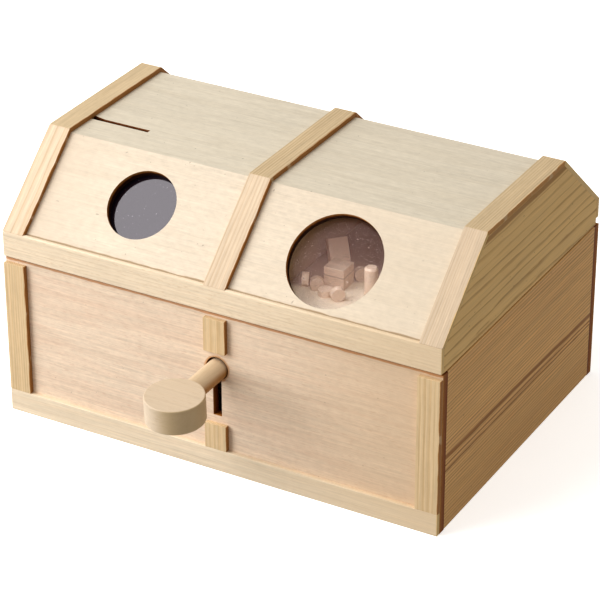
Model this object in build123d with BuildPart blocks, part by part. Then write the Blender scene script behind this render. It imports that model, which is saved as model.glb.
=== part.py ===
"""Wooden treasure chest coin bank with a turning wooden key.

Millimetres. +X to the right, +Y to the back, +Z up. The origin is the centre of the base.
The chest body, the lid, the key and the latch inside are four rigid bodies.
"""
from build123d import *
from math import atan2, cos, degrees, radians, sin, sqrt, tan
import os

# ---- driving dimensions ---------------------------------------------------------------
WIDTH = 200.0            # over the side boards
BACK = 73.5              # outer face of the back panel, and minus the trim's front face
BODY_HEIGHT = 71.6
PLY = 4.0                # thickness of the laser-cut plywood panels
BOARD = 9.0              # thickness of the solid pine ends
TRIM_W = 10.0            # width and thickness of the trim strips and lid straps
TRIM_T = 2.0
TRIM_TOP = 69.8          # the upright trim strips end just below the panel's top edge
KEYHOLE_TRIM_LOW = 21.6  # the centre strip stops below and above the keyhole
KEYHOLE_TRIM_HIGH = 54.7

LID_GAP = 0.8            # shadow gap between the lid and the body
LID_FRONT = -73.0        # front and back faces of the lid's rails
LID_BACK = 72.5
EAVE_Z = 84.0            # where the sloping straps start, on top of the rails
LID_TOP = 116.8          # outer face of the top straps
SLOPE_RUN = 37.2         # horizontal depth of each slope
BACK_RAIL_Z = 75.4       # underside of the back rail, raised to clear the hinges

SLOT_Y = -18.8           # coin slot, cut in from the left end of the top panel
SLOT_W = 2.0
SLOT_END_X = -62.6
SLOT_FLARE_W = 3.4       # the slot widens where it runs under the end strap
SLOT_FLARE_X = -84.5
WINDOWS = {"left": (-45.7, 26.1, 15.1), "right": (43.6, 23.6, 20.1)}  # x, up the slope, radius
PANE_T = 2.0
PANE_EDGE = 2.4          # how far each pane reaches past its window
DIVIDER_X = 13.5
THIN_PLY = 3.0
SHELF_Z = 73.0           # underside of the treasure shelf

KEY_Z = 46.25            # axis of the key and of the latch
KEYHOLE_Z = 46.7
KEYHOLE_R = 5.1
KEYHOLE_SLOT_W = 4.0
KEYHOLE_SLOT_LOW = 25.0
KEY_R = 4.5
KEY_TIP_Y = -45.0
BOW_Y = -103.4
BOW_R = 12.2
BOW_T = 11.0
BOW_SOCKET = 7.0         # depth of the socket that the shaft is glued into
BOW_DROP = 0.5           # the bow sits a little low on the shaft and nods forward
BOW_NOD = radians(3)
BIT_REACH = 20.8         # from the key's axis to the tip of the bit
BIT_T = 3.6
BIT_Y = (-66.0, -58.0)
BIT_ROOT = 0.5           # how far the bit's root stays off the shaft's axis

LATCH_Y = (-56.5, -51.5)  # the latch plate turns in this layer
LATCH_R = 17.5
PILOT_R = 4.58           # bore that the key's tip pilots in
PEG_R = 2.0
DRIVE_X = -13.0          # the drive pegs straddle the bit
DRIVE_GAP = 0.35
DRIVE_PEG_Y = -64.0
HUB_R = 7.0
HUB_CLEARANCE = 0.06
COLLAR_R = 10.0
COLLAR_T = 3.0
BLOCK_Y = (-51.2, -41.5)
BLOCK_W = 48.0
BLOCK_TOP = 60.0
RUN_GAP = 0.3            # gap between pieces that turn past each other
ARM_HALF = 6.0           # half width of the hook's arm
KEEPER_R = 22.0          # from the latch's axis to the keeper pin
KEEPER_SLOT_GAP = 0.4
HOOK_R = 28.0
STOP_X, STOP_DZ = 18.13, -8.45   # stop peg, from the latch's axis
STOP_GAP = 0.4

HINGE_X = 55.0           # centre of each hinge from the middle of the chest
HINGE_W = 24.0
LEAF_T = 0.7
KNUCKLE_R = 1.6
PIN_R = 0.8
PIN_FIT = 0.05           # radial running clearance of the lid's knuckle on the pin
PIN_Y = BACK + RUN_GAP + KNUCKLE_R
PIN_Z = BODY_HEIGHT + LID_GAP / 2
SCREW_R = 0.9
SCREW_HEAD_R = 1.8
SCREW_HEAD_T = 0.9
SCREW_LENGTH = 4.5
SCREW_DX = 7.0           # each screw from the centre of its hinge
LEAF_LID_Z = (75.8, 83.4)
LEAF_BODY_Z = (60.4, 68.2)

# ---- derived ---------------------------------------------------------------------------
HALF = WIDTH / 2
INNER = HALF - BOARD
FRONT = -BACK
PANEL_FRONT = FRONT + TRIM_T
CAVITY_FRONT = PANEL_FRONT + PLY
CAVITY_BACK = BACK - PLY
LID_Z = BODY_HEIGHT + LID_GAP
LID_MID = (LID_FRONT + LID_BACK) / 2
GABLE_FRONT = LID_FRONT + TRIM_T
GABLE_BACK = LID_BACK - TRIM_T
SLOPE = atan2(LID_TOP - EAVE_Z, SLOPE_RUN)
SHELF_TOP = SHELF_Z + THIN_PLY

os.makedirs("parts", exist_ok=True)


def save(piece, name):
    piece.label = name
    export_step(piece, f"parts/{name}.step")


# ---- lid profile -----------------------------------------------------------------------
# The lid's cross-section is described by how deep a face lies under the straps' outer face.
def bend_y(depth):
    """Front bend line of the face that lies `depth` under the straps."""
    return LID_FRONT + SLOPE_RUN + depth * tan(SLOPE / 2)


def slope_z(y, depth):
    """Height of the front slope's face at y, `depth` under the straps."""
    return EAVE_Z + (y - LID_FRONT) * tan(SLOPE) - depth / cos(SLOPE)


def to_back(points):
    """The same outline on the back half of the lid."""
    return [(2 * LID_MID - y, z) for y, z in points]


def slope_plane(depth):
    """Plane on the front slope: local x along the lid, local y up the slope."""
    return Plane(
        origin=(0, LID_FRONT + depth * sin(SLOPE), EAVE_Z - depth * cos(SLOPE)),
        x_dir=(1, 0, 0),
        z_dir=(0, -sin(SLOPE), cos(SLOPE)),
    )


def slope_outline(low, high):
    """Sloping layer between two depths, cut upright behind the rail and mitred at the bend."""
    return [
        (GABLE_FRONT, slope_z(GABLE_FRONT, low)),
        (bend_y(low), LID_TOP - low),
        (bend_y(high), LID_TOP - high),
        (GABLE_FRONT, slope_z(GABLE_FRONT, high)),
    ]


def prism(outline, x_low, x_high):
    """Solid with a constant outline in the Y-Z plane, from x_low to x_high."""
    with BuildPart() as bar:
        with BuildSketch(Plane.YZ.offset(x_low)):
            with BuildLine():
                Polyline(*outline, close=True)
            make_face()
        extrude(amount=x_high - x_low)
    return bar.part


def slab(x_range, y_range, z_range):
    """Rectangular board between two corners."""
    with BuildPart() as board:
        with BuildSketch(Plane.XY.offset(z_range[0])):
            with Locations((sum(x_range) / 2, sum(y_range) / 2)):
                Rectangle(x_range[1] - x_range[0], y_range[1] - y_range[0])
        extrude(amount=z_range[1] - z_range[0])
    return board.part


# ---- chest body ------------------------------------------------------------------------
for side, x_range in {"left": (-HALF, -INNER), "right": (INNER, HALF)}.items():
    save(slab(x_range, (CAVITY_FRONT, CAVITY_BACK), (0, BODY_HEIGHT)), f"side_board_{side}")

save(slab((-INNER, INNER), (CAVITY_FRONT, CAVITY_BACK), (0, PLY)), "bottom_panel")

with BuildPart() as front_panel:
    with BuildSketch(Plane.XZ.offset(-CAVITY_FRONT)):
        with Locations((0, BODY_HEIGHT / 2)):
            Rectangle(WIDTH, BODY_HEIGHT)
        with Locations((0, KEYHOLE_Z)):
            Circle(KEYHOLE_R, mode=Mode.SUBTRACT)
        with Locations((0, (KEYHOLE_Z + KEYHOLE_SLOT_LOW) / 2)):
            Rectangle(KEYHOLE_SLOT_W, KEYHOLE_Z - KEYHOLE_SLOT_LOW, mode=Mode.SUBTRACT)
    extrude(amount=PLY)
save(front_panel.part, "front_panel")

TRIM_Y = (FRONT, PANEL_FRONT)
CENTRE_X = (-TRIM_W / 2, TRIM_W / 2)
save(slab((-HALF, HALF), TRIM_Y, (0, TRIM_W)), "trim_bottom")
save(slab((-HALF, -HALF + TRIM_W), TRIM_Y, (TRIM_W, TRIM_TOP)), "trim_left")
save(slab((HALF - TRIM_W, HALF), TRIM_Y, (TRIM_W, TRIM_TOP)), "trim_right")
save(slab(CENTRE_X, TRIM_Y, (TRIM_W, KEYHOLE_TRIM_LOW)), "trim_centre_lower")
save(slab(CENTRE_X, TRIM_Y, (KEYHOLE_TRIM_HIGH, TRIM_TOP)), "trim_centre_upper")

# ---- hinges ----------------------------------------------------------------------------
HINGE_CENTRES = {"left": -HINGE_X, "right": HINGE_X}
SCREW_XS = [x + d for x in HINGE_CENTRES.values() for d in (-SCREW_DX, SCREW_DX)]
LID_SCREW_Z = sum(LEAF_LID_Z) / 2
BODY_SCREW_Z = sum(LEAF_BODY_Z) / 2


def screw_holes(z, y_face, depth):
    """Round cutters for the four screws of one leaf level, from the face inwards."""
    with BuildPart(mode=Mode.PRIVATE) as cutters:
        with BuildSketch(Plane.XZ.offset(-y_face)):
            with Locations(*[(x, z) for x in SCREW_XS]):
                Circle(SCREW_R)
        extrude(amount=depth)
    return cutters.part


def screws(z, y_leaf):
    """Four small domed screws, heads on the leaf's outer face."""
    with BuildPart() as row:
        with BuildSketch(Plane.XZ.offset(-y_leaf)):
            with Locations(*[(x, z) for x in SCREW_XS]):
                Circle(SCREW_R)
        extrude(amount=SCREW_LENGTH)
        with BuildSketch(Plane.XZ.offset(-y_leaf)):
            with Locations(*[(x, z) for x in SCREW_XS]):
                Circle(SCREW_HEAD_R)
        extrude(amount=-SCREW_HEAD_T)
        fillet(row.edges().filter_by(GeomType.CIRCLE).group_by(Axis.Y)[-1], SCREW_HEAD_T * 0.6)
    return row.part


def knuckle(x_low, x_high, bore_r, web):
    """Barrel of a hinge leaf with the web that joins it to the plate."""
    with BuildPart() as barrel:
        with BuildSketch(Plane.YZ.offset(x_low)):
            with BuildLine():
                Polyline(*web, close=True)
            make_face()
            with Locations((PIN_Y, PIN_Z)):
                Circle(KNUCKLE_R)
                Circle(bore_r, mode=Mode.SUBTRACT)
        extrude(amount=x_high - x_low)
    return barrel.part


THIRD = HINGE_W / 3
BODY_WEB = [(BACK, LEAF_BODY_Z[1] - 0.6), (BACK + LEAF_T, LEAF_BODY_Z[1] - 0.6),
            (PIN_Y - 0.3, PIN_Z - 1.3), (PIN_Y - 1.1, PIN_Z - 1.0)]
LID_WEB = [(LID_BACK, LEAF_LID_Z[0] + 0.6), (LID_BACK + LEAF_T, LEAF_LID_Z[0] + 0.6),
           (PIN_Y - 0.1, PIN_Z + 1.4), (PIN_Y - 1.1, PIN_Z + 1.0)]
for side, x in HINGE_CENTRES.items():
    start = x - HINGE_W / 2
    span = (start, start + HINGE_W)
    with BuildPart() as body_leaf:
        add(slab(span, (BACK, BACK + LEAF_T), LEAF_BODY_Z))
        for low in (start, start + 2 * THIRD + RUN_GAP / 2):
            add(knuckle(low, low + THIRD - RUN_GAP / 2, PIN_R, BODY_WEB))
        add(screw_holes(BODY_SCREW_Z, BACK + LEAF_T, LEAF_T), mode=Mode.SUBTRACT)
    save(body_leaf.part, f"hinge_leaf_body_{side}")
    with BuildPart() as lid_leaf:
        add(slab(span, (LID_BACK, LID_BACK + LEAF_T), LEAF_LID_Z))
        add(knuckle(start + THIRD + RUN_GAP / 2, start + 2 * THIRD - RUN_GAP / 2, PIN_R + PIN_FIT,
                    LID_WEB))
        add(screw_holes(LID_SCREW_Z, LID_BACK + LEAF_T, LEAF_T), mode=Mode.SUBTRACT)
    save(lid_leaf.part, f"hinge_leaf_lid_{side}")
    with BuildPart() as hinge_pin:
        with BuildSketch(Plane.YZ.offset(start)):
            with Locations((PIN_Y, PIN_Z)):
                Circle(PIN_R)
        extrude(amount=HINGE_W)
    save(hinge_pin.part, f"hinge_pin_{side}")

save(screws(BODY_SCREW_Z, BACK + LEAF_T), "hinge_screws_body")
save(screws(LID_SCREW_Z, LID_BACK + LEAF_T), "hinge_screws_lid")

with BuildPart() as back_panel:
    add(slab((-HALF, HALF), (CAVITY_BACK, BACK), (0, BODY_HEIGHT)))
    add(screw_holes(BODY_SCREW_Z, BACK, SCREW_LENGTH - LEAF_T), mode=Mode.SUBTRACT)
save(back_panel.part, "back_panel")

# ---- lid shell -------------------------------------------------------------------------
front_half = [(GABLE_FRONT, LID_Z), (GABLE_FRONT, slope_z(GABLE_FRONT, TRIM_T)),
              (bend_y(TRIM_T), LID_TOP - TRIM_T)]
gable_outline = front_half + to_back(front_half)[::-1]
for side, x_range in {"left": (-HALF, -INNER), "right": (INNER, HALF)}.items():
    save(prism(gable_outline, *x_range), f"lid_gable_{side}")

panel_outline = slope_outline(TRIM_T, TRIM_T + PLY)
with BuildPart() as lid_slope_front:
    add(prism(panel_outline, -INNER, INNER))
    for x, up, radius in WINDOWS.values():
        with BuildSketch(slope_plane(TRIM_T)):
            with Locations((x, up)):
                Circle(radius)
        extrude(amount=-PLY, mode=Mode.SUBTRACT)
save(lid_slope_front.part, "lid_slope_front")

with BuildPart() as lid_slope_back:
    add(prism(to_back(panel_outline), -INNER, INNER))
    add(screw_holes(LID_SCREW_Z, LID_BACK, SCREW_LENGTH - LEAF_T), mode=Mode.SUBTRACT)
save(lid_slope_back.part, "lid_slope_back")

top_half = [(bend_y(TRIM_T), LID_TOP - TRIM_T), (bend_y(TRIM_T + PLY), LID_TOP - TRIM_T - PLY)]
with BuildPart() as lid_top_panel:
    add(prism(top_half + to_back(top_half)[::-1], -INNER, INNER))
    with BuildSketch(Plane.XY.offset(LID_TOP - TRIM_T)):
        with BuildLine():
            Polyline(
                (-INNER, SLOT_Y - SLOT_W / 2),
                (SLOT_END_X, SLOT_Y - SLOT_W / 2),
                (SLOT_END_X, SLOT_Y + SLOT_W / 2),
                (SLOT_FLARE_X, SLOT_Y + SLOT_W / 2),
                (-INNER, SLOT_Y - SLOT_W / 2 + SLOT_FLARE_W),
                close=True,
            )
        make_face()
    extrude(amount=-PLY, mode=Mode.SUBTRACT)
save(lid_top_panel.part, "lid_top_panel")

save(slab((-HALF, HALF), (LID_FRONT, GABLE_FRONT), (LID_Z, EAVE_Z)), "lid_rail_front")
with BuildPart() as lid_rail_back:
    add(slab((-HALF, HALF), (GABLE_BACK, LID_BACK), (BACK_RAIL_Z, EAVE_Z)))
    add(screw_holes(LID_SCREW_Z, LID_BACK, TRIM_T), mode=Mode.SUBTRACT)
save(lid_rail_back.part, "lid_rail_back")

# the straps' lower ends sit on the rails, with a small toe that fills the groove behind
strap_slope = [
    (LID_FRONT, EAVE_Z),
    (bend_y(0), LID_TOP),
    (bend_y(TRIM_T), LID_TOP - TRIM_T),
    (GABLE_FRONT, slope_z(GABLE_FRONT, TRIM_T)),
    (GABLE_FRONT, EAVE_Z),
]
strap_top_half = [(bend_y(0), LID_TOP), (bend_y(TRIM_T), LID_TOP - TRIM_T)]
strap_top = strap_top_half + to_back(strap_top_half)[::-1]
STRAPS = {"left": (-HALF, -HALF + TRIM_W), "middle": CENTRE_X, "right": (HALF - TRIM_W, HALF)}
for place, x_range in STRAPS.items():
    save(prism(strap_slope, *x_range), f"strap_front_{place}")
    save(prism(strap_top, *x_range), f"strap_top_{place}")
    save(prism(to_back(strap_slope), *x_range), f"strap_back_{place}")

# ---- inside the lid --------------------------------------------------------------------
for side, (x, up, radius) in WINDOWS.items():
    with BuildPart() as pane:
        with BuildSketch(slope_plane(TRIM_T + PLY)):
            with Locations((x, up)):
                RectangleRounded(2 * (radius + PANE_EDGE), 2 * (radius + PANE_EDGE), 3.0)
        extrude(amount=-PANE_T)
    save(pane.part, f"window_pane_{side}")

UNDER = TRIM_T + PLY
divider_half = [(GABLE_FRONT, SHELF_Z), (GABLE_FRONT, slope_z(GABLE_FRONT, UNDER)),
                (bend_y(UNDER), LID_TOP - UNDER)]
save(prism(divider_half + to_back(divider_half)[::-1], DIVIDER_X, DIVIDER_X + THIN_PLY),
     "lid_divider")
save(slab((DIVIDER_X + THIN_PLY, INNER), (GABLE_FRONT, GABLE_BACK), (SHELF_Z, SHELF_TOP)),
     "treasure_shelf")

# keeper: a fork glued inside the front slope that carries the pin the latch hooks over
KEEPER_Z = KEY_Z + KEEPER_R
KEEPER_FRONT, KEEPER_REAR = -62.0, -46.0
CHEEK = 4.0
KEEPER_LOW = KEEPER_Z - PEG_R - 1.2
KEEPER_ROOF = KEY_Z + HOOK_R + 2.0
keeper_outline = [
    (GABLE_FRONT, SHELF_Z),
    (GABLE_FRONT, slope_z(GABLE_FRONT, UNDER)),
    (KEEPER_FRONT, slope_z(KEEPER_FRONT, UNDER)),
    (KEEPER_REAR, slope_z(KEEPER_FRONT, UNDER)),
    (KEEPER_REAR, KEEPER_LOW),
    (KEEPER_REAR - CHEEK, KEEPER_LOW),
    (KEEPER_REAR - CHEEK, KEEPER_ROOF),
    (KEEPER_FRONT + CHEEK, KEEPER_ROOF),
    (KEEPER_FRONT + CHEEK, KEEPER_LOW),
    (KEEPER_FRONT, KEEPER_LOW),
    (KEEPER_FRONT, SHELF_Z),
]
with BuildPart() as lock_keeper:
    add(prism(keeper_outline, -ARM_HALF, ARM_HALF))
    with BuildSketch(Plane.XZ.offset(-KEEPER_REAR)):
        with Locations((0, KEEPER_Z)):
            Circle(PEG_R)
    extrude(amount=KEEPER_REAR - KEEPER_FRONT, mode=Mode.SUBTRACT)
save(lock_keeper.part, "lock_keeper")

with BuildPart() as keeper_pin:
    with BuildSketch(Plane.XZ.offset(-KEEPER_REAR)):
        with Locations((0, KEEPER_Z)):
            Circle(PEG_R)
    extrude(amount=KEEPER_REAR - KEEPER_FRONT)
save(keeper_pin.part, "keeper_pin")

# ---- lock inside the body --------------------------------------------------------------
with BuildPart() as lock_bearing_block:
    add(slab((-BLOCK_W / 2, BLOCK_W / 2), BLOCK_Y, (PLY, BLOCK_TOP)))
    with BuildSketch(Plane.XZ.offset(-BLOCK_Y[1])):
        with Locations((0, KEY_Z)):
            Circle(HUB_R + HUB_CLEARANCE)
        with Locations((STOP_X, KEY_Z + STOP_DZ)):
            Circle(PEG_R)
    extrude(amount=BLOCK_Y[1] - BLOCK_Y[0], mode=Mode.SUBTRACT)
save(lock_bearing_block.part, "lock_bearing_block")

with BuildPart() as lock_stop_peg:
    with BuildSketch(Plane.XZ.offset(-BLOCK_Y[1])):
        with Locations((STOP_X, KEY_Z + STOP_DZ)):
            Circle(PEG_R)
    extrude(amount=BLOCK_Y[1] - LATCH_Y[0])
save(lock_stop_peg.part, "lock_stop_peg")

# The latch plate is drawn at rest: hook towards +X, drive pegs towards -X.
TAIL_X = STOP_DZ - PEG_R - STOP_GAP      # the tail's flank, a quarter turn before the stop
TAIL_W = 5.0
TAIL_R = STOP_X + PEG_R + 2.0
DRIVE_DZ = BIT_T / 2 + DRIVE_GAP + PEG_R
PEG_SPOTS = [(DRIVE_X, KEY_Z + DRIVE_DZ), (DRIVE_X, KEY_Z - DRIVE_DZ)]
SLOT_R = (KEEPER_R - PEG_R - KEEPER_SLOT_GAP, KEEPER_R + PEG_R + KEEPER_SLOT_GAP)
with BuildPart() as latch_plate:
    with BuildSketch(Plane.XZ.offset(-LATCH_Y[1])):
        with Locations((0, KEY_Z)):
            Circle(LATCH_R)
        with Locations((HOOK_R / 2, KEY_Z)):
            Rectangle(HOOK_R + 2, 2 * ARM_HALF)
        with Locations((TAIL_X - TAIL_W / 2, KEY_Z - TAIL_R / 2)):
            Rectangle(TAIL_W, TAIL_R)
        with Locations((0, KEY_Z)):
            Circle(HOOK_R, mode=Mode.INTERSECT)
        # arc-shaped throat that takes the keeper pin, open on the leading flank
        with BuildLine():
            throat_end = -(PEG_R + KEEPER_SLOT_GAP)
            spans = [sqrt(r * r - throat_end * throat_end) for r in SLOT_R]
            leads = [sqrt(r * r - (ARM_HALF + 2) ** 2) for r in SLOT_R]
            mids = [(r * cos(0.13), KEY_Z + r * sin(0.13)) for r in SLOT_R]
            ThreePointArc((spans[0], KEY_Z + throat_end), mids[0], (leads[0], KEY_Z + ARM_HALF + 2))
            Line((leads[0], KEY_Z + ARM_HALF + 2), (leads[1], KEY_Z + ARM_HALF + 2))
            ThreePointArc((leads[1], KEY_Z + ARM_HALF + 2), mids[1], (spans[1], KEY_Z + throat_end))
            Line((spans[1], KEY_Z + throat_end), (spans[0], KEY_Z + throat_end))
        make_face(mode=Mode.SUBTRACT)
        with Locations((0, KEY_Z)):
            Circle(PILOT_R, mode=Mode.SUBTRACT)
        with Locations(*PEG_SPOTS):
            Circle(PEG_R, mode=Mode.SUBTRACT)
    extrude(amount=LATCH_Y[1] - LATCH_Y[0])
save(latch_plate.part, "latch_plate")

with BuildPart() as latch_drive_pegs:
    with BuildSketch(Plane.XZ.offset(-LATCH_Y[1])):
        with Locations(*PEG_SPOTS):
            Circle(PEG_R)
    extrude(amount=LATCH_Y[1] - DRIVE_PEG_Y)
save(latch_drive_pegs.part, "latch_drive_pegs")

HUB_BACK = BLOCK_Y[1] + RUN_GAP
with BuildPart() as latch_hub:
    with BuildSketch(Plane.XZ.offset(-HUB_BACK)):
        with Locations((0, KEY_Z)):
            Circle(HUB_R)
    extrude(amount=HUB_BACK - LATCH_Y[1])
    with BuildSketch(Plane.XZ.offset(-LATCH_Y[1])):
        with Locations((0, KEY_Z)):
            Circle(PILOT_R)
    extrude(amount=-(KEY_TIP_Y + 1.0 - LATCH_Y[1]), mode=Mode.SUBTRACT)
save(latch_hub.part, "latch_hub")

with BuildPart() as latch_collar:
    with BuildSketch(Plane.XZ.offset(-HUB_BACK)):
        with Locations((0, KEY_Z)):
            Circle(COLLAR_R)
    extrude(amount=-COLLAR_T)
save(latch_collar.part, "latch_collar")

# ---- key -------------------------------------------------------------------------------
SHAFT_FRONT = BOW_Y + BOW_R - BOW_SOCKET
with BuildPart() as key_shaft:
    with BuildSketch(Plane.XZ.offset(-KEY_TIP_Y)):
        with Locations((0, KEY_Z)):
            Circle(KEY_R)
    extrude(amount=KEY_TIP_Y - SHAFT_FRONT)
    chamfer(key_shaft.edges().filter_by(GeomType.CIRCLE).group_by(Axis.Y)[-1], 0.6)
    add(slab((-KEY_R - 1, -BIT_ROOT), BIT_Y, (KEY_Z - BIT_T / 2, KEY_Z + BIT_T / 2)),
        mode=Mode.SUBTRACT)
save(key_shaft.part, "key_shaft")

with BuildPart() as key_bit:
    add(slab((-BIT_REACH, -BIT_ROOT), BIT_Y, (KEY_Z - BIT_T / 2, KEY_Z + BIT_T / 2)))
    chamfer(key_bit.edges().filter_by(Axis.Z).group_by(Axis.X)[0], 0.8)
save(key_bit.part, "key_bit")

with BuildPart() as key_bow:
    with BuildSketch(Plane(origin=(0, BOW_Y, KEY_Z - BOW_DROP), x_dir=(1, 0, 0),
                           z_dir=(0, -sin(BOW_NOD), cos(BOW_NOD)))):
        Circle(BOW_R)
    extrude(amount=BOW_T / 2, both=True)
    fillet(key_bow.edges().filter_by(GeomType.CIRCLE), 0.5)
    with BuildSketch(Plane.XZ.offset(-SHAFT_FRONT)):
        with Locations((0, KEY_Z)):
            Circle(KEY_R)
    extrude(amount=-2 * BOW_SOCKET, mode=Mode.SUBTRACT)
save(key_bow.part, "key_bow")

# ---- treasures glued on the shelf ------------------------------------------------------
CUBE = 9.0
save(slab((29.9, 29.9 + CUBE), (-38.0, -38.0 + CUBE), (SHELF_TOP, SHELF_TOP + CUBE)),
     "treasure_cube")

FLOOR = Plane.XY.offset(SHELF_TOP)
with BuildPart() as treasure_tile:
    with BuildSketch(Plane(origin=(23.6, -15.4, SHELF_TOP + 4.3),
                           x_dir=(cos(0.80), sin(0.80), 0), z_dir=(0.611, -0.629, 0.48))):
        Rectangle(CUBE * 0.92, CUBE * 1.1)
    extrude(amount=CUBE * 0.45)
    split(bisect_by=FLOOR, keep=Keep.TOP)
save(treasure_tile.part, "treasure_tile")

with BuildPart() as treasure_dowel:
    with BuildSketch(FLOOR):
        with Locations((49.4, -34.4)):
            Circle(2.8)
    extrude(amount=12.0)
    chamfer(treasure_dowel.edges().filter_by(GeomType.CIRCLE).group_by(Axis.Z)[-1], 0.7)
save(treasure_dowel.part, "treasure_dowel")

DISC_R = 2.85
DISC_T = 2.8
DISC_FLAT = 0.15         # standing discs are glued on a small flat
with BuildPart() as treasure_disc_flat:
    with BuildSketch(FLOOR):
        with Locations((34.1, -44.1)):
            Circle(DISC_R)
    extrude(amount=DISC_T)
save(treasure_disc_flat.part, "treasure_disc_flat")

STANDING_DISCS = {        # x, y and heading of the disc's axis in degrees
    "left": (23.2, -40.4, 22.0),
    "rear": (28.9, -41.6, -60.0),
    "front": (40.4, -45.6, -45.0),
    "far": (40.4, -26.0, -50.0),
}
for place, (x, y, heading) in STANDING_DISCS.items():
    axis = Vector(1, 0, 0).rotate(Axis.Z, heading)
    centre = Vector(x, y, SHELF_TOP + DISC_R - DISC_FLAT)
    with BuildPart() as disc:
        with BuildSketch(Plane(origin=centre, z_dir=axis)):
            Circle(DISC_R)
        extrude(amount=DISC_T / 2, both=True)
        split(bisect_by=FLOOR, keep=Keep.TOP)
    save(disc.part, f"treasure_disc_{place}")
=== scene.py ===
"""Looks of the wooden treasure chest coin bank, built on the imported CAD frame. Metres."""
from math import atan2, cos, pi, radians, sin

import bpy
from mathutils import Matrix, Vector


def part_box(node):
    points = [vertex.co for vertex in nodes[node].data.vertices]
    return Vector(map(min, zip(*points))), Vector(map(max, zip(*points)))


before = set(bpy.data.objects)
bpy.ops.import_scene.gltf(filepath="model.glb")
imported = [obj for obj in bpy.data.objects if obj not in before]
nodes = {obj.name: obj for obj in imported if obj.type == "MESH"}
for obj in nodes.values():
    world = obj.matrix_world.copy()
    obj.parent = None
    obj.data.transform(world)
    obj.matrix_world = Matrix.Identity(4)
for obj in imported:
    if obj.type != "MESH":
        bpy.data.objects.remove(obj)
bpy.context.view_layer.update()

MM = 0.001

# ---- camera and light ----------------------------------------------------------------------
CAMERA_AT = Vector((0.4895, -0.8758, 0.5931))
CAMERA_AZIMUTH = radians(29.31)
CAMERA_ELEVATION = radians(28.71)
CAMERA_ROLL = radians(-0.11)
CAMERA_LENS = 164.0
SENSOR = 36.0

# A steep softbox from the upper left, a lower one from the front left, and a dim studio round
# them that is darker below the horizon.
KEY_AT, KEY_SIZE, KEY_POWER = (-0.47, -0.46, 0.88), 0.75, 6.2
FRONT_AT, FRONT_SIZE, FRONT_POWER = (-0.83, -0.72, 0.30), 0.8, 7.0
# A small lamp that only brightens what stands behind the right window.
WINDOW_AT, WINDOW_SIZE, WINDOW_POWER = (0.28, -0.56, 0.80), 0.35, 1.85
SKY, GROUND, STUDIO_TINT = 0.48, 0.31, (1.0, 0.96, 0.90, 1.0)
HORIZON = 0.4                 # half the height over which the studio goes from GROUND to SKY
LIGHTS_AIM = Vector((0, 0, 0.06))
FLOOR_GLOW = 0.46
FLOOR_REACH = 6.0


def add_camera():
    data = bpy.data.cameras.new("camera")
    data.lens = CAMERA_LENS
    data.sensor_width = SENSOR
    data.clip_start = 0.01
    camera = bpy.data.objects.new("camera", data)
    bpy.context.scene.collection.objects.link(camera)
    look = Vector((-sin(CAMERA_AZIMUTH) * cos(CAMERA_ELEVATION),
                   cos(CAMERA_AZIMUTH) * cos(CAMERA_ELEVATION),
                   -sin(CAMERA_ELEVATION)))
    turn = look.to_track_quat("-Z", "Y").to_matrix().to_4x4()
    roll = Matrix.Rotation(CAMERA_ROLL, 4, "Z")
    camera.matrix_world = Matrix.Translation(CAMERA_AT) @ turn @ roll
    bpy.context.scene.camera = camera


def add_softbox(name, at, size, power):
    data = bpy.data.lights.new(name, "AREA")
    data.shape = "DISK"
    data.size = size
    data.energy = power
    lamp = bpy.data.objects.new(name, data)
    bpy.context.scene.collection.objects.link(lamp)
    lamp.location = at
    lamp.rotation_euler = (LIGHTS_AIM - Vector(at)).to_track_quat("-Z", "Y").to_euler()
    return lamp


def add_world():
    world = bpy.data.worlds.new("studio")
    bpy.context.scene.world = world
    world.use_nodes = True
    tree = world.node_tree
    background = tree.nodes["Background"]
    background.inputs["Color"].default_value = STUDIO_TINT
    direction = tree.nodes.new("ShaderNodeTexCoord")
    split = tree.nodes.new("ShaderNodeSeparateXYZ")
    level = tree.nodes.new("ShaderNodeMapRange")
    tree.links.new(direction.outputs["Generated"], split.inputs[0])
    tree.links.new(split.outputs["Z"], level.inputs["Value"])
    for socket, value in (("From Min", -HORIZON), ("From Max", HORIZON), ("To Min", GROUND),
                          ("To Max", SKY)):
        level.inputs[socket].default_value = value
    tree.links.new(level.outputs["Result"], background.inputs["Strength"])


# ---- node helpers --------------------------------------------------------------------------
def rgba(value):
    """A grey number or a colour tuple as RGBA."""
    return (value,) * 3 + (1.0,) if isinstance(value, (int, float)) else (*value[:3], 1.0)


def shade(colour, amount):
    return tuple(amount * c for c in colour)


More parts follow.
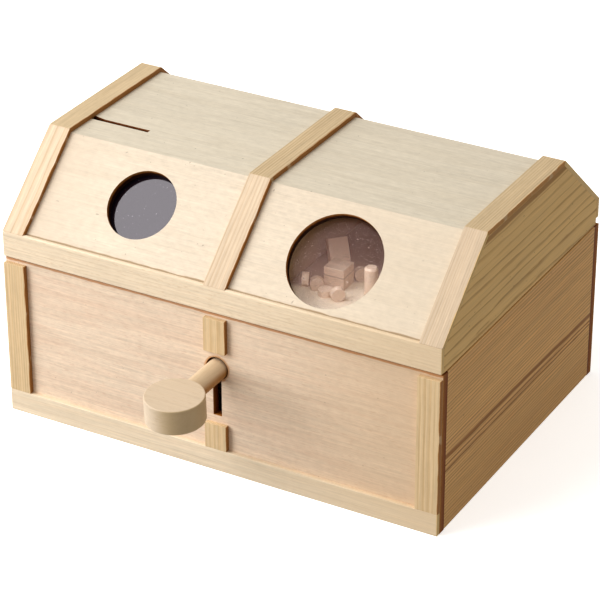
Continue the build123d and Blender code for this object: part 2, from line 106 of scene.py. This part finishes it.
class Tree:
    """A material and short calls that add nodes to it."""

    def __init__(self, name):
        self.material = bpy.data.materials.new(name)
        self.material.use_nodes = True
        self.nodes = self.material.node_tree.nodes
        self.links = self.material.node_tree.links
        self.nodes.clear()
        coord = self.nodes.new("ShaderNodeTexCoord")
        self.place, self.normal = coord.outputs["Object"], coord.outputs["Normal"]

    def add(self, kind, values=None, **settings):
        """A new node. values gives its inputs: constants, or the outputs of other nodes."""
        node = self.nodes.new(kind)
        for key, value in settings.items():
            setattr(node, key, value)
        for socket, value in (values or {}).items():
            if hasattr(value, "is_output"):
                self.links.new(value, node.inputs[socket])
            else:
                node.inputs[socket].default_value = value
        return node

    def math(self, operation, a, b=0.0, clamp=False):
        return self.add("ShaderNodeMath", {0: a, 1: b}, operation=operation,
                        use_clamp=clamp).outputs[0]

    def total(self, *values):
        result = values[0]
        for value in values[1:]:
            result = self.math("ADD", result, value)
        return result

    def vector(self, operation, a, b=(0, 0, 0), output=0):
        return self.add("ShaderNodeVectorMath", {0: a, 1: b},
                        operation=operation).outputs[output]

    def noise(self, vector, stretch, shift=(0, 0, 0), detail=2.0, rough=0.5):
        """Noise with features of about 1/stretch metres along each axis."""
        spot = self.add("ShaderNodeMapping", {"Vector": vector, "Scale": stretch,
                                              "Location": shift}).outputs["Vector"]
        return self.add("ShaderNodeTexNoise", {"Vector": spot, "Scale": 1.0, "Detail": detail,
                                               "Roughness": rough}).outputs["Fac"]

    def span(self, value, low, high, to_low=0.0, to_high=1.0, smooth=False):
        return self.add("ShaderNodeMapRange",
                        {"Value": value, "From Min": low, "From Max": high, "To Min": to_low,
                         "To Max": to_high},
                        interpolation_type="SMOOTHSTEP" if smooth else "LINEAR"
                        ).outputs["Result"]

    def sway(self, noise, amount):
        """Noise turned into a change of plus or minus amount."""
        return self.span(noise, 0.3, 0.7, -amount, amount)

    def ramp(self, factor, stops):
        node = self.add("ShaderNodeValToRGB", {"Fac": factor})
        elements = node.color_ramp.elements
        elements.remove(elements[1])
        elements[0].position, elements[0].color = stops[0][0], rgba(stops[0][1])
        for position, value in stops[1:]:
            elements.new(position).color = rgba(value)
        return node.outputs["Color"]

    def mix(self, factor, a, b, blend="MIX"):
        return self.add("ShaderNodeMix", {"Factor": factor, 6: a, 7: b}, data_type="RGBA",
                        blend_type=blend).outputs[2]

    def finish(self, colour, roughness, height=None, bump=0.2, depth_mm=0.12, **sockets):
        """The shader and its output. sockets are further inputs, with _ for a space."""
        shader = self.add("ShaderNodeBsdfPrincipled", {"Base Color": colour,
                                                       "Roughness": roughness})
        for name, value in sockets.items():
            socket = shader.inputs[name.replace("_", " ")]
            if hasattr(value, "is_output"):
                self.links.new(value, socket)
            else:
                socket.default_value = value
        if height is not None:
            node = self.add("ShaderNodeBump", {"Height": height, "Strength": bump,
                                               "Distance": depth_mm * MM})
            self.links.new(node.outputs["Normal"], shader.inputs["Normal"])
        output = self.add("ShaderNodeOutputMaterial")
        self.links.new(shader.outputs["BSDF"], output.inputs["Surface"])
        return self.material


# ---- directions ----------------------------------------------------------------------------
# The lid slopes' angle above the floor, read from the frame.
strap_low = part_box("strap_front_middle")[0]
top_low, top_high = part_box("strap_top_middle")
SLOPE = atan2(top_high.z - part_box("lid_rail_front")[1].z, top_low.y - strap_low.y)

# Turns that bring a piece's grain onto the texture's X axis and its face normal off it.
ALONG_X = (0, 0, 0)
ALONG_Y = (0, 0, -pi / 2)
ALONG_Z = (0, pi / 2, 0)
UP_FRONT_SLOPE = (-SLOPE, 0, -pi / 2)
UP_BACK_SLOPE = (SLOPE, 0, -pi / 2)
ACROSS_FRONT_SLOPE = (-SLOPE, 0, 0)
ACROSS_BACK_SLOPE = (SLOPE, 0, 0)

FRONT_NORMAL = (0, -sin(SLOPE), cos(SLOPE))
BACK_NORMAL = (0, sin(SLOPE), cos(SLOPE))
DOWN_SLOPE = (0, -cos(SLOPE), -sin(SLOPE))
RIGHT, LEFT, FRONT, BACK, UP, DOWN = ((1, 0, 0), (-1, 0, 0), (0, -1, 0), (0, 1, 0), (0, 0, 1),
                                      (0, 0, -1))

# ---- wood ----------------------------------------------------------------------------------
# Noise features to the metre, along the grain and twice across it. The first four shape the
# growth rings, the next five change the tone, and the last three are marks in the wood.
BEND, CRINKLE, SPACING, WEIGHT = (6, 35, 35), (45, 500, 500), (1.2, 110, 110), (2.5, 160, 160)
HAIRS, STRANDS, STREAKS = (70, 2400, 2400), (26, 950, 950), (6, 260, 260)
CLOUDS, MOTTLES = (14, 34, 34), (280, 520, 520)
BLUSHES, PORES, SPECKS = (9, 300, 300), (330, 2300, 2300), (650, 800, 800)
# The same for the unevenness of wide bands, of burnt and singed borders, and of the borders of
# tones and painted shade.
BAND_BEND, BAND_CRINKLE = (9, 60, 60), (90, 700, 700)
BURN_EDGE, HALO_EDGE, TONE_AND_SHADE_EDGE = (400, 400, 400), (350, 350, 350), (120, 120, 120)
SEED_STEP = Vector((0.173, 0.071, 0.113))

# Burnt edge of the plywood from the outer face (0) to the inner one (1).
BROWN, RUST, CHAR = (0.50, 0.24, 0.080), (0.16, 0.045, 0.010), (0.030, 0.008, 0.002)
WINDOW_LAYERS = ((0.0, (0.46, 0.21, 0.055)), (0.28, (0.38, 0.16, 0.035)), (0.42, RUST),
                 (0.54, CHAR), (1.0, CHAR))
# The coin slot's walls go black nearer the face: laser burn, and painted shade in the deep
# slot.
SLOT_BURN_AND_SHADE_LAYERS = ((0.0, (0.26, 0.11, 0.035)), (0.15, RUST), (0.35, CHAR), (1.0, CHAR))
FRONT_LAYERS = ((0.0, (0.44, 0.20, 0.050)), (0.3, (0.27, 0.10, 0.020)),
                (0.85, (0.20, 0.060, 0.012)), (1.0, (0.11, 0.025, 0.006)))
PLY_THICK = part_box("back_panel")[1].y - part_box("back_panel")[0].y


def growth_line(t, along, shift, ring, sharp, wave, pith):
    """How far into the late wood a point is: growth rings round the pith, bent by noise."""
    across = t.vector("MULTIPLY", t.vector("SUBTRACT", along, (0, pith[0] * MM, pith[1] * MM)),
                      (0, 1, 1))
    radius = t.vector("LENGTH", across, output="Value")
    bend = t.sway(t.noise(along, BEND, shift), wave)
    crinkle = t.sway(t.noise(along, CRINKLE, shift), 0.10)
    spacing = t.sway(t.noise(along, SPACING, shift + Vector((3, 5, 7))), 0.45)
    phase = t.math("FRACT", t.total(t.math("MULTIPLY", radius, 1 / (ring * MM)), bend, crinkle,
                                    spacing))
    start = 0.30 + 0.5 * sharp
    return t.ramp(phase, [(0.0, 0.25), (0.06, 0.0), (start, 0.05), (0.93, 1.0), (0.97, 0.85),
                          (1.0, 0.25)])


def band_cover(t, along, shift, centre, climb, half, strength):
    """The cover of one wide dark line across a board."""
    height = t.vector("DOT_PRODUCT", t.place, (0, -climb, 1), output="Value")
    height = t.total(height, t.sway(t.noise(along, BAND_BEND, shift), 0.5 * MM),
                     t.sway(t.noise(along, BAND_CRINKLE, shift), 0.12 * MM))
    off = t.math("ABSOLUTE", t.math("SUBTRACT", height, centre * MM))
    return t.span(off, half * 0.55 * MM, half * 1.25 * MM, strength, 0.0, smooth=True)


def wood(name, early, late, turn=ALONG_X, seed=0, ring=2.5, sharp=0.5, dark=0.5, wave=0.3,
         pith=(90.0, -30.0), fine=0.05, strand=0.05, streak=0.03, cloud=0.03, blush=None,
         mottle=0.0, pores=0.0, specks=0.0, bands=(), rough=0.64, bump=0.25, rim=None,
         scorch=(), tints=(), halos=(), gloss=0.3):
    """Bare sanded wood.

    early and late are the two growth colours, ring the ring spacing in mm, sharp how thin the
    late lines are, dark how strong, and pith where the tree's centre lies across the grain, in
    mm. fine, strand and streak are the strengths of ever wider fibres, cloud that of soft
    patches and mottle that of fine unevenness with no direction. blush is (colour, amount) for
    tinted streaks; pores and specks are the strengths of short dashes and dark dots.
    bands holds wide dark lines as (height at mid depth, climb towards the back, half width,
    strength), in mm. scorch holds (direction, from, to, colour, amount): the
    tone goes over to colour between two distances, in metres, along that direction; some
    ramps are the wood's own tone and some are painted shade. tints holds
    (direction, colour, amount): sides that face that way are tinted; some of these tints are
    the wood's own tone and some are painted shade. halos holds (centre, radius) of holes with
    a singed border. rim is (face normal, its outer plane, burn layers): edges turned away from
    the face are burnt by the laser.
    """
    t = Tree(name)
    along = t.add("ShaderNodeMapping", {"Vector": t.place, "Rotation": turn}).outputs[0]
    shift = SEED_STEP * seed
    line = growth_line(t, along, shift, ring, sharp, wave, pith)
    weight = t.span(t.noise(along, WEIGHT, shift + Vector((9, 2, 4))), 0.3, 0.7,
                    0.5 * dark, dark)
    late_amount = t.math("MULTIPLY", line, weight, clamp=True)
    for band in bands:
        late_amount = t.math("MAXIMUM", late_amount, band_cover(t, along, shift, *band))
    colour = t.mix(late_amount, rgba(early), rgba(late))
    # fibres in three widths and soft patches change the tone
    hair = t.noise(along, HAIRS, shift, 3.0, 0.6)
    tone = t.total(
        1.0, t.sway(hair, fine),
        t.sway(t.noise(along, STRANDS, shift + Vector((5, 1, 8)), 2.0), strand),
        t.sway(t.noise(along, STREAKS, shift + Vector((2, 9, 1)), 2.0), streak),
        t.sway(t.noise(along, CLOUDS, shift + Vector((4, 4, 1)), 4.0, 0.6), cloud),
        t.sway(t.noise(along, MOTTLES, shift + Vector((1, 3, 9)), 3.0, 0.6), mottle))
    tone = t.add("ShaderNodeCombineXYZ", {0: tone, 1: tone, 2: tone}).outputs[0]
    colour = t.mix(1.0, colour, tone, "MULTIPLY")
    if blush:
        rosy = t.noise(along, BLUSHES, shift + Vector((7, 3, 6)), 3.0, 0.6)
        colour = t.mix(t.span(rosy, 0.44, 0.66, 0.0, blush[1]), colour, rgba(blush[0]))
    if pores:
        dash = t.noise(along, PORES, shift + Vector((1, 6, 3)), 1.0)
        colour = t.mix(t.span(dash, 0.60, 0.72, 0.0, pores), colour, rgba(late))
    if specks:
        dot = t.noise(along, SPECKS, shift + Vector((8, 2, 5)), 0.0)
        colour = t.mix(t.span(dot, 0.83, 0.87, 0.0, specks), colour, rgba(shade(late, 0.35)))
    for centre, radius in halos:
        ring_gap = t.math("SUBTRACT", t.vector("DISTANCE", t.place, centre, output="Value"),
                          radius)
        ring_gap = t.total(ring_gap, t.sway(t.noise(t.place, HALO_EDGE, shift), 0.3 * MM))
        colour = t.mix(t.span(ring_gap, 0.2 * MM, 1.1 * MM, 0.75, 0.0, smooth=True), colour,
                       rgba(BROWN))
    # Ramps along a direction and tints by facing: some are the wood's own tone, some painted
    # shade.
    for way, start, end, tint, amount in scorch:
        reach = t.vector("DOT_PRODUCT", t.place, way, output="Value")
        reach = t.total(reach, t.sway(t.noise(t.place, TONE_AND_SHADE_EDGE, shift), 0.25 * MM))
        colour = t.mix(t.span(reach, start, end, 0.0, amount, smooth=True), colour, rgba(tint))
    for way, tint, amount in tints:
        turned = t.vector("DOT_PRODUCT", t.normal, way, output="Value")
        colour = t.mix(t.span(turned, 0.0, 0.7, 0.0, amount, smooth=True), colour, rgba(tint))
    if rim:
        face, plane, layers = rim
        facing = t.math("ABSOLUTE", t.vector("DOT_PRODUCT", t.normal, face, output="Value"))
        reach = t.vector("DOT_PRODUCT", t.place, face, output="Value")
        sunk = t.math("SUBTRACT", plane, reach)
        sunk = t.total(sunk, t.sway(t.noise(t.place, BURN_EDGE, shift, 3.0), 0.3 * MM))
        burn = t.ramp(t.span(sunk, 0.0, PLY_THICK), layers)
        colour = t.mix(t.span(facing, 0.35, 0.80, 1.0, 0.0), colour, burn)
    roughness = t.span(hair, 0.2, 0.8, rough - 0.08, rough + 0.10)
    relief = t.total(hair, t.math("MULTIPLY", line, -0.5))
    return t.finish(colour, roughness, relief, bump, Specular_IOR_Level=gloss)


# ---- dress the CAD nodes -------------------------------------------------------------------
def dress(node, material):
    mesh = nodes[node].data
    mesh.materials.clear()
    mesh.materials.append(material)


def soften(node, width_mm):
    """Sanded arrises: welds the import's split corners, then bevels them."""
    obj = nodes[node]
    weld = obj.modifiers.new("weld", "WELD")
    weld.merge_threshold = 0.001 * MM
    bevel = obj.modifiers.new("bevel", "BEVEL")
    bevel.width = width_mm * MM
    bevel.segments = 3
    bevel.limit_method = "ANGLE"
    bevel.angle_limit = radians(25)
    bevel.harden_normals = False
    normals = obj.modifiers.new("normals", "WEIGHTED_NORMAL")
    normals.keep_sharp = False
    normals.weight = 100


def outer_plane(node, face):
    """How far the node reaches along a direction, from the origin."""
    return max(Vector(face).dot(v.co) for v in nodes[node].data.vertices)


def ply(node, face, early, late, seed, turn=ALONG_X, layers=WINDOW_LAYERS, **more):
    """A laser-cut plywood panel: plain cream face, burnt edges with the plies showing."""
    looks = dict(ring=11.0, sharp=0.2, dark=0.16, wave=0.9, pith=(350.0, -80.0), fine=0.06,
                 strand=0.03, streak=0.015, cloud=0.025, mottle=0.06, pores=0.13, specks=0.5,
                 bump=0.15, gloss=0.15, rim=(face, outer_plane(node, face), layers))
    looks.update(more)
    dress(node, wood(f"ply_{node}", early, late, turn, seed, **looks))


CREAM, CREAM_LATE = (0.77, 0.645, 0.50), (0.68, 0.53, 0.38)
SLOPE_CREAM, SLOPE_LATE = (0.675, 0.58, 0.465), (0.60, 0.475, 0.345)
TOP_CREAM, TOP_LATE = (0.66, 0.595, 0.485), (0.56, 0.485, 0.37)
ROSE, ROSE_LATE, ROSE_BLUSH = (0.78, 0.63, 0.49), (0.63, 0.42, 0.30), (0.64, 0.41, 0.29)
BACK_PLY, BACK_PLY_LATE = (0.77, 0.60, 0.42), (0.64, 0.45, 0.29)
INNER_PLY, INNER_PLY_LATE = (0.76, 0.61, 0.43), (0.66, 0.49, 0.31)
# The shelf's ply is paler than the inner ply: partly painted light, as if lit through the
# window.
SHELF_LIT_PLY, SHELF_LIT_PLY_LATE = (0.92, 0.83, 0.68), (0.82, 0.70, 0.54)

# The front slope is darker towards both ends and along the line where it meets the rail:
# painted shade.
SLOPE_PAINTED_SHADE_RIGHT, SLOPE_PAINTED_SHADE_LEFT = (0.60, 0.51, 0.39), (0.59, 0.48, 0.37)
SLOPE_SEAM_SHADE = (0.30, 0.19, 0.09)
rail_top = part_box("lid_rail_front")[1]
slope_foot = Vector((0, rail_top.y, rail_top.z)).dot(DOWN_SLOPE)
ply("lid_slope_front", FRONT_NORMAL, SLOPE_CREAM, SLOPE_LATE, 11, ACROSS_FRONT_SLOPE,
    scorch=((RIGHT, 0.0, 90 * MM, SLOPE_PAINTED_SHADE_RIGHT, 0.35),
            (LEFT, 55 * MM, 95 * MM, SLOPE_PAINTED_SHADE_LEFT, 0.45),
            (DOWN_SLOPE, slope_foot - 0.8 * MM, slope_foot - 0.4 * MM, SLOPE_SEAM_SHADE, 0.7)))
ply("lid_slope_back", BACK_NORMAL, CREAM, CREAM_LATE, 13, ACROSS_BACK_SLOPE)
ply("lid_top_panel", UP, TOP_CREAM, TOP_LATE, 17, dark=0.28, ring=8.0, streak=0.02,
    strand=0.02, mottle=0.045, layers=SLOT_BURN_AND_SHADE_LAYERS)

# The front panel goes browner towards the right, partly its own tone and partly painted shade
# as the light falls off; along its top edge it is darker, partly singed by the laser and
# partly painted shade under the lid's rail.
FRONT_TAN_AND_SHADE, FRONT_SINGE_AND_SHADE = (0.60, 0.42, 0.25), (0.50, 0.19, 0.045)
KEYHOLE_RADIUS = 5.1 * MM
SHAFT_GAP = 0.1 * MM          # between the keyhole's lowest point and the shaft's
front_low, front_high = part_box("front_panel")
keyhole = Vector((0, front_low.y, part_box("key_shaft")[0].z + KEYHOLE_RADIUS - SHAFT_GAP))
ply("front_panel", FRONT, ROSE, ROSE_LATE, 3, dark=0.22, ring=5.0, fine=0.09, strand=0.05,
    streak=0.02, pores=0.45, blush=(ROSE_BLUSH, 0.22), layers=FRONT_LAYERS,
    halos=((keyhole, KEYHOLE_RADIUS),),
    scorch=((RIGHT, 0.0, 95 * MM, FRONT_TAN_AND_SHADE, 0.5),
            (UP, front_high.z - 1.0 * MM, front_high.z - 0.75 * MM, FRONT_SINGE_AND_SHADE, 0.65)))
ply("back_panel", BACK, BACK_PLY, BACK_PLY_LATE, 5, dark=0.3, ring=6.0, strand=0.05,
    layers=FRONT_LAYERS)
ply("bottom_panel", UP, INNER_PLY, INNER_PLY_LATE, 7)
ply("lid_divider", RIGHT, INNER_PLY, INNER_PLY_LATE, 19)
ply("latch_plate", BACK, INNER_PLY, INNER_PLY_LATE, 29)

# The shelf has a painted shadow towards the back left, on the upper face only: the steep
# upward part of the shadow's direction keeps it off the underside, which is a darker ply.
SHELF_PAINTED_SHADOW, SHELF_UNDERSIDE = (0.36, 0.24, 0.20), (0.24, 0.19, 0.13)
SHADOW_CLIMB = 30.0
shelf_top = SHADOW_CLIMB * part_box("treasure_shelf")[1].z
ply("treasure_shelf", UP, SHELF_LIT_PLY, SHELF_LIT_PLY_LATE, 23,
    scorch=(((-0.6, 0.8, SHADOW_CLIMB), shelf_top - 49 * MM, shelf_top - 43 * MM, SHELF_PAINTED_SHADOW,
             0.85),),
    tints=((DOWN, SHELF_UNDERSIDE, 0.6),))

# Pine boards: quarter-sawn, so the rings run as near-straight lines. The bands are the wide
# late-wood stripes that stand out on the side boards and along the top of the gables.
SIDE_BANDS = ((31.7, -0.022, 1.15, 1.0), (28.55, -0.016, 0.45, 1.0),
              (26.35, -0.009, 0.45, 1.0))
GABLE_BANDS = ((113.5, 0.008, 1.45, 0.95),)
# The side boards and gables are darker and more orange than the strips: partly the pine's own
# tone, partly painted shade of the sides turned from the light.
SIDE_PINE_AND_SHADE, SIDE_LATE = (0.73, 0.455, 0.195), (0.295, 0.13, 0.034)
SIDE_BLUSH, SIDE_FOOT = (0.60, 0.32, 0.14), (0.50, 0.28, 0.10)
GABLE_PINE_AND_SHADE, GABLE_LATE = (0.73, 0.50, 0.22), (0.33, 0.17, 0.045)
QUARTER_SAWN = (0.0, -420.0)
for seed, side in enumerate(("left", "right")):
    dress(f"side_board_{side}", wood(
        f"pine_side_{side}", SIDE_PINE_AND_SHADE, SIDE_LATE, ALONG_Y, 31 + seed, ring=1.55, sharp=0.45,
        dark=0.85, wave=0.25, pith=QUARTER_SAWN, fine=0.12, strand=0.08, streak=0.05,
        cloud=0.04, specks=0.4, bands=SIDE_BANDS, blush=(SIDE_BLUSH, 0.2), bump=0.35,
        scorch=((DOWN, -34 * MM, 0.0, SIDE_FOOT, 0.35),)))
    dress(f"lid_gable_{side}", wood(
        f"pine_gable_{side}", GABLE_PINE_AND_SHADE, GABLE_LATE, ALONG_Y, 37 + seed, ring=4.4, sharp=0.85,
        dark=0.80, wave=0.12, pith=QUARTER_SAWN, fine=0.06, strand=0.04, streak=0.03,
        cloud=0.03, specks=0.5, bands=GABLE_BANDS, bump=0.3))
    soften(f"side_board_{side}", 0.5)
    soften(f"lid_gable_{side}", 0.35)

# Thin strips of the same pine: trim on the front, rails and straps on the lid.
STRIP = dict(ring=0.82, sharp=0.35, dark=0.65, wave=0.35, fine=0.08, strand=0.07, streak=0.02,
             cloud=0.02, mottle=0.03, bump=0.3)

# Painted shade on the sawn side turned from the light, on the trim and on the two inner
# straps.
PAINTED_SHADE_SIDE = (0.31, 0.125, 0.020)
SHADE_PAINTED_STRIPS = ("trim_left", "trim_right", "trim_centre_upper", "trim_centre_lower",
              "strap_front_left", "strap_front_middle", "strap_top_left", "strap_top_middle",
              "strap_back_left", "strap_back_middle")
# The ends and sides that lie flush with the right gable are as dark as the gable.
END_GRAIN_AND_SHADE = dict.fromkeys(("trim_bottom", "lid_rail_front", "lid_rail_back",
                           "strap_front_right", "strap_back_right"), (0.68, 0.48, 0.22))
# The top right strap's side is darker still: painted shade below the strap's edge.
END_GRAIN_AND_SHADE["strap_top_right"] = (0.42, 0.20, 0.045)
SIDE_TINT_AND_SHADE = 0.92


def strip(node, turn, early, late, seed, **more):
    """A thin pine strip; its right side has painted shade, or end grain tone at the gable."""
    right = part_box(node)[1].x
    looks = dict(STRIP, pith=(60.0 + 17.0 * (seed % 4), -25.0 - 9.0 * (seed % 3)))
    tint = PAINTED_SHADE_SIDE if node in SHADE_PAINTED_STRIPS else END_GRAIN_AND_SHADE.get(node)
    looks.update(more)
    if tint:
        looks["scorch"] = (*looks.get("scorch", ()),
                           (RIGHT, right - 0.35 * MM, right - 0.15 * MM, tint, SIDE_TINT_AND_SHADE))
    dress(node, wood(f"pine_{node}", early, late, turn, seed, **looks))
    # the back rail's notches for the hinges don't take a bevel
    if node != "lid_rail_back":
        soften(node, 0.6 if "rail" in node else 0.3)


STRAW, STRAW_LATE = (0.69, 0.52, 0.32), (0.51, 0.33, 0.16)
PALE, PALE_LATE = (0.78, 0.65, 0.49), (0.63, 0.47, 0.31)
PEACH, PEACH_LATE = (0.69, 0.55, 0.405), (0.53, 0.37, 0.225)
TAN, TAN_LATE = (0.605, 0.47, 0.30), (0.41, 0.28, 0.14)
for seed, side in enumerate(("left", "right")):
    strip(f"trim_{side}", ALONG_Z, STRAW, STRAW_LATE, 41 + seed)
for seed, side in enumerate(("upper", "lower")):
    strip(f"trim_centre_{side}", ALONG_Z, STRAW, STRAW_LATE, 43 + seed)

# The long strips are darker and yellower towards the right: painted shade, as the light falls
# off.
RIGHTWARD_PAINTED_SHADE = (RIGHT, 0.0, 100 * MM, (0.66, 0.49, 0.30), 0.5)
strip("trim_bottom", ALONG_X, PALE, PALE_LATE, 45, dark=0.35, scorch=(RIGHTWARD_PAINTED_SHADE,))
for seed, side in enumerate(("front", "back")):
    strip(f"lid_rail_{side}", ALONG_X, PALE, PALE_LATE, 46 + seed, dark=0.35, pores=0.5,
          scorch=(RIGHTWARD_PAINTED_SHADE,))

# The middle and right straps are darker: painted shade, as the light falls off towards the
# right.
for seed, (side, tone) in enumerate((("left", 1.0), ("middle", 0.92), ("right", 0.885))):
    strip(f"strap_front_{side}", UP_FRONT_SLOPE, shade(PEACH, tone), shade(PEACH_LATE, tone),
          48 + seed, gloss=0.15)
    strip(f"strap_back_{side}", UP_BACK_SLOPE, shade(PEACH, tone), shade(PEACH_LATE, tone),
          51 + seed)
    strip(f"strap_top_{side}", ALONG_Y, TAN, TAN_LATE, 54 + seed)

# Turned and sawn beech for the key, the lock and the treasures.
BEECH = dict(ring=3.2, sharp=0.2, dark=0.15, wave=0.3, fine=0.04, strand=0.03, streak=0.02,
             cloud=0.03, pores=0.35, rough=0.52, bump=0.18, gloss=0.35)
BEECH_EARLY, BEECH_LATE = (0.63, 0.50, 0.35), (0.49, 0.35, 0.20)
BOW, BOW_LATE, BOW_PAINTED_SHADE = (0.625, 0.505, 0.375), (0.49, 0.36, 0.23), (0.47, 0.34, 0.17)
SHAFT, SHAFT_LATE, SHAFT_PAINTED_SHADE = (0.66, 0.52, 0.36), (0.52, 0.37, 0.21), (0.36, 0.15, 0.02)
# Painted shade on the key: the bow's right side and the shaft's lower right side, turned from
# the light, are darkened.
dress("key_bow", wood("beech_key_bow", BOW, BOW_LATE, ALONG_X, 61,
                      tints=(((0.95, -0.3, 0), BOW_PAINTED_SHADE, 0.65),), **BEECH))
dress("key_shaft", wood("beech_key_shaft", SHAFT, SHAFT_LATE, ALONG_Y, 62,
                        tints=(((0.6, 0, -0.8), SHAFT_PAINTED_SHADE, 0.9),), **BEECH))
dress("key_bit", wood("beech_key_bit", BEECH_EARLY, BEECH_LATE, ALONG_X, 63, **BEECH))
soften("key_bit", 0.3)
for seed, node in enumerate(("latch_drive_pegs", "latch_hub", "latch_collar", "lock_stop_peg",
                             "keeper_pin")):
    dress(node, wood(f"beech_{node}", BEECH_EARLY, BEECH_LATE, ALONG_Y, 64 + seed, **BEECH))
for seed, node in enumerate(("lock_bearing_block", "lock_keeper")):
    dress(node, wood(f"beech_{node}", BEECH_EARLY, BEECH_LATE, ALONG_X, 70 + seed, **BEECH))
    soften(node, 0.3)
# The treasures are beech made paler than the key's: partly painted light, as if lit through
# the window. The tone per piece is painted light and shade too: the tile brighter, the cube
# and the discs darker.
TREASURE_LIT_BEECH, TREASURE_LIT_BEECH_LATE = (0.90, 0.73, 0.59), (0.78, 0.59, 0.45)
TREASURE_PAINTED_LIGHT_AND_SHADE = {"treasure_cube": 0.92, "treasure_tile": 1.1, "treasure_disc_far": 0.75,
                 "treasure_disc_rear": 0.85}
for seed, node in enumerate(k for k in sorted(nodes)
                            if k.startswith("treasure_") and k != "treasure_shelf"):
    is_cube = node == "treasure_cube"
    tone = TREASURE_PAINTED_LIGHT_AND_SHADE.get(node, 1.0)
    low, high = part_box(node)
    # a dark line round the cube, like the joint of a small lid
    joint = ((0.6 * high.z + 0.4 * low.z) / MM, 0.0, 0.3, 0.6)
    late = shade(TREASURE_LIT_BEECH_LATE, 0.45 if is_cube else 1.0)
    dress(node, wood(f"beech_{node}", shade(TREASURE_LIT_BEECH, tone), late, ALONG_X, 80 + seed,
                     bands=(joint,) if is_cube else (), **BEECH))
    soften(node, 0.25)


# ---- metal and acrylic ---------------------------------------------------------------------
def metal(name, colour, rough=0.32):
    t = Tree(name)
    dull = t.noise(t.place, (300, 300, 300), detail=4.0)
    brushed = t.noise(t.place, (60, 4000, 4000))
    tint = t.mix(t.span(dull, 0.40, 0.70, 0.0, 0.7), rgba(colour), rgba(shade(colour, 0.55)))
    return t.finish(tint, t.span(dull, 0.3, 0.7, rough - 0.08, rough + 0.12), brushed, 0.15,
                    0.05, Metallic=1.0)


hinge_brass = metal("hinge_brass", (0.78, 0.57, 0.27))
screw_brass = metal("screw_brass", (0.72, 0.52, 0.25), 0.38)
for node in nodes:
    if node.startswith("hinge_"):
        dress(node, screw_brass if "screws" in node else hinge_brass)


def acrylic(name, colour, dust_colour, dust_from, dust_size_mm, alpha, ior, gloss_tint):
    """A smoked pane with a little dust on it; dust_from is the noise level it starts at.

    alpha thins the reflection as well, so a clearer pane is given a higher ior to reflect as
    much.
    """
    t = Tree(name)
    dust = t.noise(t.place, (1 / (dust_size_mm * MM),) * 3, detail=1.0)
    haze = t.noise(t.place, (45, 45, 45), detail=3.0)
    clean = t.mix(t.span(haze, 0.3, 0.7), rgba(colour), rgba(shade(colour, 1.12)))
    tint = t.mix(t.span(dust, dust_from, dust_from + 0.06, 0.0, 0.7), clean, rgba(dust_colour))
    cover = t.span(dust, dust_from, dust_from + 0.06, alpha, max(alpha, 0.42))
    return t.finish(tint, t.span(haze, 0.3, 0.7, 0.06, 0.12), Alpha=cover, IOR=ior,
                    Specular_Tint=rgba(gloss_tint))


dress("window_pane_left", acrylic(
    "acrylic_grey", (0.010, 0.006, 0.012), (0.28, 0.26, 0.28), dust_from=0.735,
    dust_size_mm=0.67, alpha=0.98, ior=1.56, gloss_tint=(1.0, 0.95, 1.0)))
dress("window_pane_right", acrylic(
    "acrylic_brown", (0.50, 0.23, 0.17), (0.9, 0.8, 0.75), dust_from=0.665,
    dust_size_mm=0.5, alpha=0.07, ior=1.7, gloss_tint=(1.0, 0.82, 0.82)))


# ---- stage ---------------------------------------------------------------------------------
def add_floor():
    mesh = bpy.data.meshes.new("floor")
    corners = ((-1, -1), (1, -1), (1, 1), (-1, 1))
    mesh.from_pydata([(x * FLOOR_REACH, y * FLOOR_REACH, 0) for x, y in corners], [],
                     [(0, 1, 2, 3)])
    floor = bpy.data.objects.new("floor", mesh)
    bpy.context.scene.collection.objects.link(floor)
    t = Tree("floor_paper")
    mottle = t.noise(t.place, (30, 30, 30))
    colour = t.mix(t.span(mottle, 0.3, 0.7), rgba(0.94), rgba(0.96))
    mesh.materials.append(t.finish(colour, t.span(mottle, 0.3, 0.7, 0.85, 0.95),
                                   Specular_IOR_Level=0.2, Emission_Color=rgba(1.0),
                                   Emission_Strength=FLOOR_GLOW))
    floor.visible_diffuse = False  # its glow does not light the chest


bpy.context.scene.view_settings.view_transform = "Standard"
bpy.context.scene.view_settings.look = "Medium High Contrast"
add_camera()
add_floor()
add_world()
add_softbox("key_light", KEY_AT, KEY_SIZE, KEY_POWER)
add_softbox("front_light", FRONT_AT, FRONT_SIZE, FRONT_POWER)
window_light = add_softbox("window_light", WINDOW_AT, WINDOW_SIZE, WINDOW_POWER)
lit_inside = bpy.data.collections.new("lit_inside")
for node in nodes:
    if node.startswith("treasure_"):
        lit_inside.objects.link(nodes[node])
window_light.light_linking.receiver_collection = lit_inside
